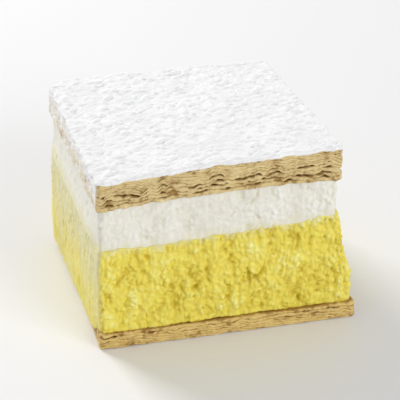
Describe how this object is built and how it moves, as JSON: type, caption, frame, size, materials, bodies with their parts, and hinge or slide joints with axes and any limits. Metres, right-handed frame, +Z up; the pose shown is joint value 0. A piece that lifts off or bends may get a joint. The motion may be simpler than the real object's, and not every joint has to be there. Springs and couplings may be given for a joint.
{
  "type": "mille feuille slice",
  "caption": "Cut square of cream slice: puff pastry base, thick yellow custard, whipped cream and a puff pastry lid dusted with icing sugar.",
  "frame": {"origin": "on the surface the slice stands on, under the middle of its box", "axes": "+Z up through the layers; the front cut runs along X and faces -Y, the smoother left cut faces -X"},
  "size_m": [0.079, 0.0626, 0.058],
  "materials": {
    "pastry": "dry flaky baked puff pastry, golden brown",
    "custard": "moist yellow set custard, torn on the cut",
    "whipped_cream": "soft white whipped cream",
    "icing_sugar": "thick dull white sugar powder"
  },
  "bodies": {
    "root": {"base_pastry": "pastry", "custard": "custard", "whipped_cream": "whipped_cream", "lid_pastry": "pastry"}
  },
  "joints": []
}
